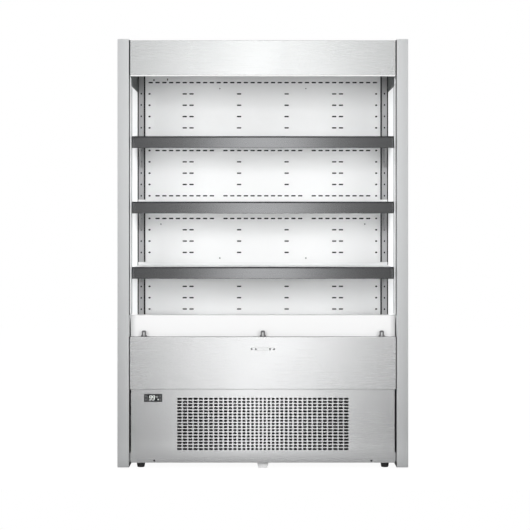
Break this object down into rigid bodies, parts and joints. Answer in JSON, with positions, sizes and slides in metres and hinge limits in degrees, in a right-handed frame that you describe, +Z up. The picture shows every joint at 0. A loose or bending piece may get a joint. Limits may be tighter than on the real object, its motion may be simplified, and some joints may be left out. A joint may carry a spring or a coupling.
{
  "type": "open multideck display fridge",
  "caption": "Free-standing open-front refrigerated multideck cabinet with shelves on slotted uprights, pull-down night blind and a condensing unit behind a slotted grille.",
  "frame": {"origin": "on the floor under the middle of the cabinet's bounding box", "axes": "+Z up, the open front faces -Y, +X is the right-hand side seen from the front"},
  "size_m": [1.2, 0.62, 1.776],
  "materials": {
    "end_panel_skin": "satin",
    "outer_panel": "satin",
    "white_liner": "satin",
    "white_well": "satin",
    "frame_steel": "satin",
    "support_grey": "matte",
    "foot_black": "matte",
    "grille_steel": "satin",
    "controller_black": "satin",
    "key_grey": "matte",
    "panel_steel": "satin",
    "riser_white": "satin",
    "tray_steel": "satin",
    "catch_steel": "satin",
    "deck_white": "satin",
    "galvanised": "satin",
    "fan_plastic": "matte",
    "coil_aluminium": "satin",
    "back_wall_steel": "satin",
    "upright_steel": "satin",
    "shelf_white": "satin",
    "strip_steel": "satin",
    "bracket_white": "satin",
    "canopy_steel": "satin",
    "ceiling_white": "satin",
    "outlet_grey": "matte",
    "blind_aluminium": "satin",
    "blind_fabric": "matte",
    "black_steel": "satin",
    "tray_plastic": "matte",
    "box_steel": "satin",
    "gland_black": "matte"
  },
  "bodies": {
    "root": {"end_panel_left": "end_panel_skin", "end_panel_right": "end_panel_skin", "back_panel": "outer_panel", "top_panel": "outer_panel", "side_liner_left": "white_liner", "side_liner_right": "white_liner", "base_well": "white_well", "base_frame": "frame_steel", "centre_support": "support_grey", "grille_panel": "grille_steel", "controller": "controller_black", "front_panel": "panel_steel", "riser": "riser_white", "machine_tray": "tray_steel", "blind_catch_left": "catch_steel", "blind_catch_centre": "catch_steel", "blind_catch_right": "catch_steel", "fan_deck": "galvanised", "blind_cassette": "galvanised", "evaporator_coil": "coil_aluminium", "condenser_coil": "coil_aluminium", "back_wall": "back_wall_steel", "upright_left": "upright_steel", "upright_right": "upright_steel", "shelf_bracket_lower_left": "bracket_white", "shelf_bracket_lower_right": "bracket_white", "shelf_bracket_middle_left": "bracket_white", "shelf_bracket_middle_right": "bracket_white", "shelf_bracket_upper_left": "bracket_white", "shelf_bracket_upper_right": "bracket_white", "canopy_front": "canopy_steel", "canopy_ceiling": "ceiling_white", "air_outlet": "outlet_grey", "blind_cloth": "blind_fabric", "fan_shroud": "black_steel", "compressor": "black_steel", "evaporation_tray": "tray_plastic", "electrical_box": "box_steel", "rear_louvre_panel": "box_steel", "cable_gland": "gland_black"},
    "deck": {"deck_pan": "deck_white"},
    "blind_bar": {"blind_bar": "blind_aluminium"},
    "blind_roller": {"blind_roller": "blind_aluminium"},
    "condenser_fan": {"condenser_fan": "fan_plastic"},
    "shelf_lower": {"shelf_tray_lower": "shelf_white", "price_strip_lower": "strip_steel"},
    "shelf_middle": {"shelf_tray_middle": "shelf_white", "price_strip_middle": "strip_steel"},
    "shelf_upper": {"shelf_tray_upper": "shelf_white", "price_strip_upper": "strip_steel"},
    "evaporator_fan_left": {"evaporator_fan_left": "fan_plastic"},
    "foot_front_left": {"foot_front_left": "foot_black"},
    "foot_rear_left": {"foot_rear_left": "foot_black"},
    "key_upper_left": {"key_upper_left": "key_grey"},
    "key_lower_left": {"key_lower_left": "key_grey"},
    "evaporator_fan_right": {"evaporator_fan_right": "fan_plastic"},
    "foot_front_right": {"foot_front_right": "foot_black"},
    "foot_rear_right": {"foot_rear_right": "foot_black"},
    "key_upper_right": {"key_upper_right": "key_grey"},
    "key_lower_right": {"key_lower_right": "key_grey"}
  },
  "joints": [
    {"name": "deck_lift", "type": "slide", "parent": "root", "child": "deck", "axis": [0, 0, 1], "range_m": [0, 0.12]},
    {"name": "shelf_lower_lift", "type": "slide", "parent": "root", "child": "shelf_lower", "axis": [0, 0, 1], "range_m": [0, 0.12]},
    {"name": "shelf_middle_lift", "type": "slide", "parent": "root", "child": "shelf_middle", "axis": [0, 0, 1], "range_m": [0, 0.12]},
    {"name": "shelf_upper_lift", "type": "slide", "parent": "root", "child": "shelf_upper", "axis": [0, 0, 1], "range_m": [0, 0.12]},
    {"name": "blind_pull", "type": "slide", "parent": "root", "child": "blind_bar", "axis": [0, 0, -1], "range_m": [0, 1.066], "deforming": ["blind_cloth"]},
    {"name": "blind_roller_turn", "type": "hinge", "parent": "root", "child": "blind_roller", "pos_m": [0, -0.2683, 1.69], "axis": [1, 0, 0], "range_deg": [0, 3820]},
    {"name": "evaporator_fan_left_spin", "type": "hinge", "parent": "root", "child": "evaporator_fan_left", "pos_m": [-0.23, -0.1967, 0.494], "axis": [0, 1, 0], "continuous": true},
    {"name": "evaporator_fan_right_spin", "type": "hinge", "parent": "root", "child": "evaporator_fan_right", "pos_m": [0.23, -0.1967, 0.494], "axis": [0, 1, 0], "continuous": true},
    {"name": "condenser_fan_spin", "type": "hinge", "parent": "root", "child": "condenser_fan", "pos_m": [-0.135, -0.1397, 0.1748], "axis": [0, 1, 0], "continuous": true},
    {"name": "foot_front_left_level", "type": "slide", "parent": "root", "child": "foot_front_left", "axis": [0, 0, -1], "range_m": [0, 0.015]},
    {"name": "foot_front_right_level", "type": "slide", "parent": "root", "child": "foot_front_right", "axis": [0, 0, -1], "range_m": [0, 0.015]},
    {"name": "foot_rear_left_level", "type": "slide", "parent": "root", "child": "foot_rear_left", "axis": [0, 0, -1], "range_m": [0, 0.015]},
    {"name": "foot_rear_right_level", "type": "slide", "parent": "root", "child": "foot_rear_right", "axis": [0, 0, -1], "range_m": [0, 0.015]},
    {"name": "key_upper_left_press", "type": "slide", "parent": "root", "child": "key_upper_left", "axis": [0, 1, 0], "range_m": [0, 0.0008], "stiffness_N_per_m": 300},
    {"name": "key_upper_right_press", "type": "slide", "parent": "root", "child": "key_upper_right", "axis": [0, 1, 0], "range_m": [0, 0.0008], "stiffness_N_per_m": 300},
    {"name": "key_lower_left_press", "type": "slide", "parent": "root", "child": "key_lower_left", "axis": [0, 1, 0], "range_m": [0, 0.0008], "stiffness_N_per_m": 300},
    {"name": "key_lower_right_press", "type": "slide", "parent": "root", "child": "key_lower_right", "axis": [0, 1, 0], "range_m": [0, 0.0008], "stiffness_N_per_m": 300}
  ],
  "couplings": [
    {"joint": "blind_roller_turn", "follows": "blind_pull", "rad_per_m": 62.5}
  ]
}
